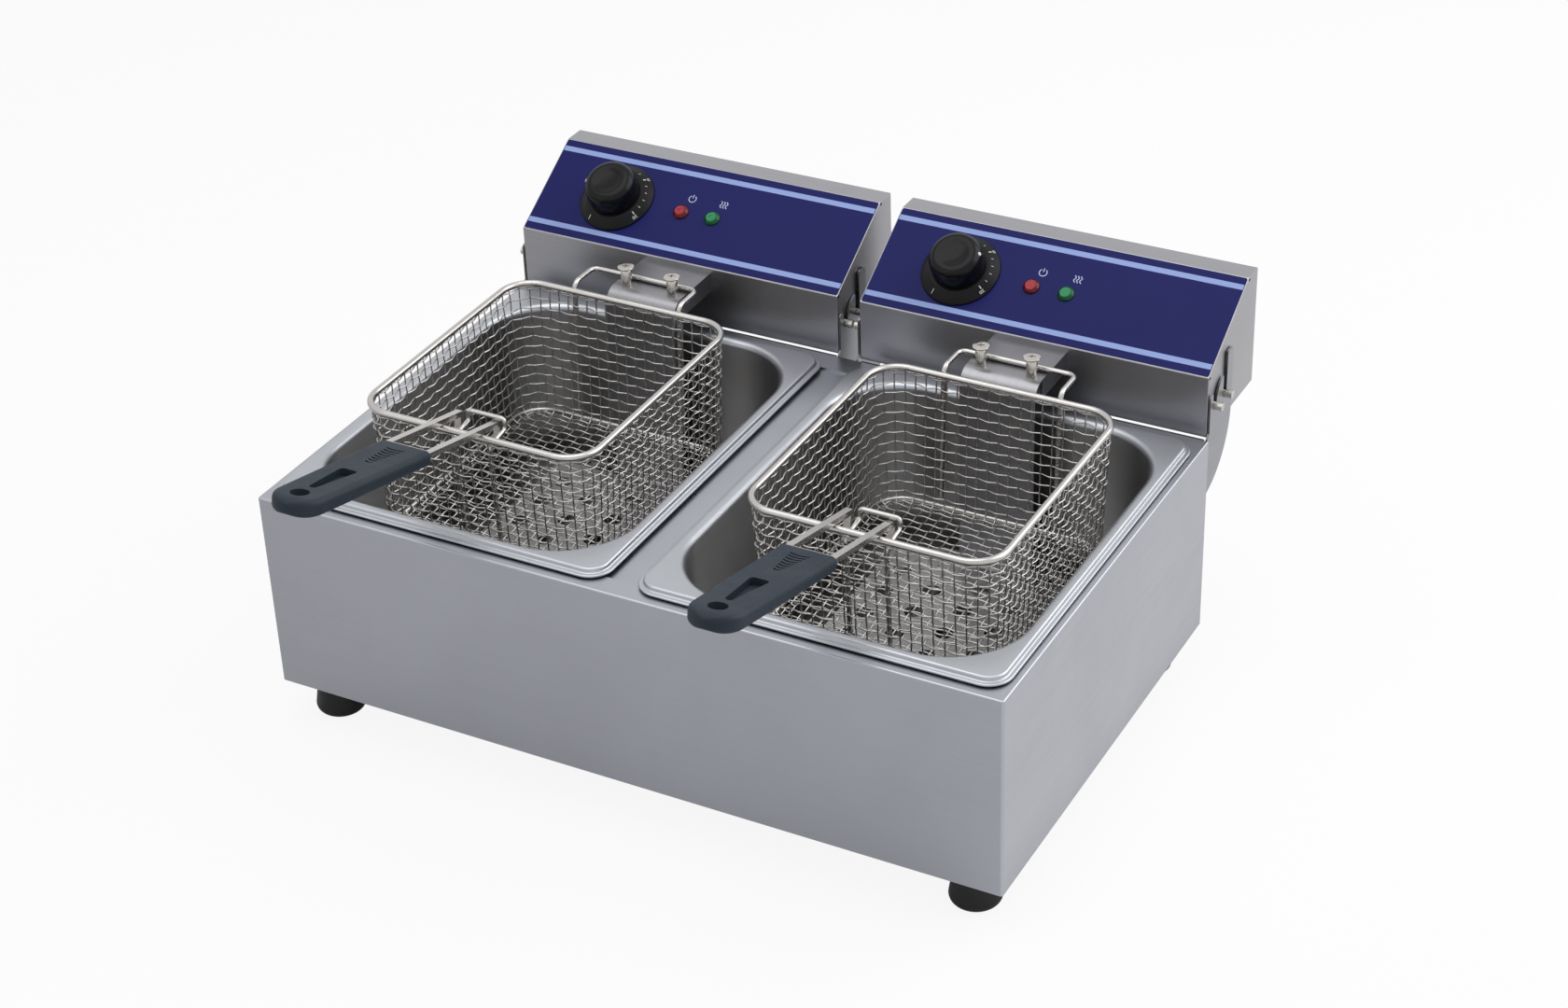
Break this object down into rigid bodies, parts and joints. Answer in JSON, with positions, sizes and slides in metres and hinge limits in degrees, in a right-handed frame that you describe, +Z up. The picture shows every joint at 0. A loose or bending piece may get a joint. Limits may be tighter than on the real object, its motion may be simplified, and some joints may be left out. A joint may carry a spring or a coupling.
{
  "type": "twin-tank countertop electric fryer",
  "caption": "Countertop electric fryer: steel casing with lift-out pans, tilting control heads with knobs and lamps, and hook-on wire baskets with tilting handles.",
  "frame": {"origin": "on the counter under the middle of the whole part, which is also midway between the four feet", "axes": "+X to the right as seen from the front, +Y to the back where the control heads are, +Z up"},
  "size_m": [0.57, 0.5665, 0.2818],
  "materials": {
    "casing_steel": "brushed stainless sheet",
    "head_steel": "brushed stainless sheet",
    "hood_steel": "brushed stainless sheet",
    "tank_steel": "satin pressed stainless",
    "screw_steel": "bright plated steel",
    "element_steel": "dull sheath tube",
    "basket_wire": "bright plated wire",
    "spindle_brass": "plain",
    "foot_rubber": "matt black",
    "label_print": "printed film",
    "dial_plastic": "fine grain",
    "knob_plastic": "fine grain",
    "red_lens": "clear tinted lens",
    "green_lens": "clear tinted lens",
    "electrical_plastic": "plain moulding",
    "grip_plastic": "fine grain"
  },
  "bodies": {
    "casing": {"casing_wrap": "casing_steel", "back_panel": "casing_steel", "base_plate": "casing_steel", "rear_deck": "casing_steel", "centre_strip": "casing_steel", "feet": "foot_rubber", "foot_screws": "screw_steel", "casing_screws": "screw_steel", "left_head_bracket": "casing_steel", "right_head_bracket": "casing_steel"},
    "left_tank": {"left_tank": "tank_steel"},
    "left_head": {"left_head_cover": "head_steel", "left_head_side_panels": "head_steel", "left_head_back_cover": "head_steel", "left_control_label": "label_print", "left_dial_bezel": "dial_plastic", "left_power_lamp": "red_lens", "left_heat_lamp": "green_lens", "left_element_hood": "hood_steel", "left_hook_posts": "screw_steel", "left_heating_element": "element_steel", "left_guard_plate": "hood_steel", "left_thermostat": "spindle_brass", "left_cutout": "electrical_plastic", "left_terminal_block": "electrical_plastic", "left_cable_gland": "electrical_plastic", "left_pivot_pins": "screw_steel"},
    "left_knob": {"left_knob": "knob_plastic", "left_thermostat_spindle": "spindle_brass"},
    "left_basket": {"left_basket_mesh": "basket_wire", "left_basket_rim": "basket_wire", "left_basket_frame": "basket_wire", "left_basket_hook": "basket_wire"},
    "left_handle": {"left_handle_rods": "basket_wire", "left_handle_grip": "grip_plastic"},
    "right_tank": {"right_tank": "tank_steel"},
    "right_head": {"right_head_cover": "head_steel", "right_head_side_panels": "head_steel", "right_head_back_cover": "head_steel", "right_control_label": "label_print", "right_dial_bezel": "dial_plastic", "right_power_lamp": "red_lens", "right_heat_lamp": "green_lens", "right_element_hood": "hood_steel", "right_hook_posts": "screw_steel", "right_heating_element": "element_steel", "right_guard_plate": "hood_steel", "right_thermostat": "spindle_brass", "right_cutout": "electrical_plastic", "right_terminal_block": "electrical_plastic", "right_cable_gland": "electrical_plastic", "right_pivot_pins": "screw_steel"},
    "right_knob": {"right_knob": "knob_plastic", "right_thermostat_spindle": "spindle_brass"},
    "right_basket": {"right_basket_mesh": "basket_wire", "right_basket_rim": "basket_wire", "right_basket_frame": "basket_wire", "right_basket_hook": "basket_wire"},
    "right_handle": {"right_handle_rods": "basket_wire", "right_handle_grip": "grip_plastic"}
  },
  "joints": [
    {"name": "left_tank_lift", "type": "slide", "parent": "casing", "child": "left_tank", "axis": [0, 0, 1], "range_m": [0, 0.2]},
    {"name": "left_head_tilt", "type": "hinge", "parent": "left_tank", "child": "left_head", "pos_m": [-0.143, 0.21035, 0.205], "axis": [-1, 0, 0], "range_deg": [0, 90]},
    {"name": "left_knob_turn", "type": "hinge", "parent": "left_head", "child": "left_knob", "pos_m": [-0.213, 0.21842, 0.25137], "axis": [0, 0.515, -0.8572], "range_deg": [0, 270]},
    {"name": "left_basket_lift", "type": "slide", "parent": "left_head", "child": "left_basket", "axis": [0, 0, 1], "range_m": [0, 0.15]},
    {"name": "left_handle_tilt", "type": "hinge", "parent": "left_basket", "child": "left_handle", "pos_m": [-0.152, -0.06469, 0.22747], "axis": [-1, 0, 0], "range_deg": [0, 90]},
    {"name": "right_tank_lift", "type": "slide", "parent": "casing", "child": "right_tank", "axis": [0, 0, 1], "range_m": [0, 0.2]},
    {"name": "right_head_tilt", "type": "hinge", "parent": "right_tank", "child": "right_head", "pos_m": [0.143, 0.21035, 0.205], "axis": [-1, 0, 0], "range_deg": [0, 90]},
    {"name": "right_knob_turn", "type": "hinge", "parent": "right_head", "child": "right_knob", "pos_m": [0.073, 0.21842, 0.25137], "axis": [0, 0.515, -0.8572], "range_deg": [-225, 45]},
    {"name": "right_basket_lift", "type": "slide", "parent": "right_head", "child": "right_basket", "axis": [0, 0, 1], "range_m": [0, 0.15]},
    {"name": "right_handle_tilt", "type": "hinge", "parent": "right_basket", "child": "right_handle", "pos_m": [0.148, -0.06469, 0.22747], "axis": [-1, 0, 0], "range_deg": [0, 90]}
  ]
}
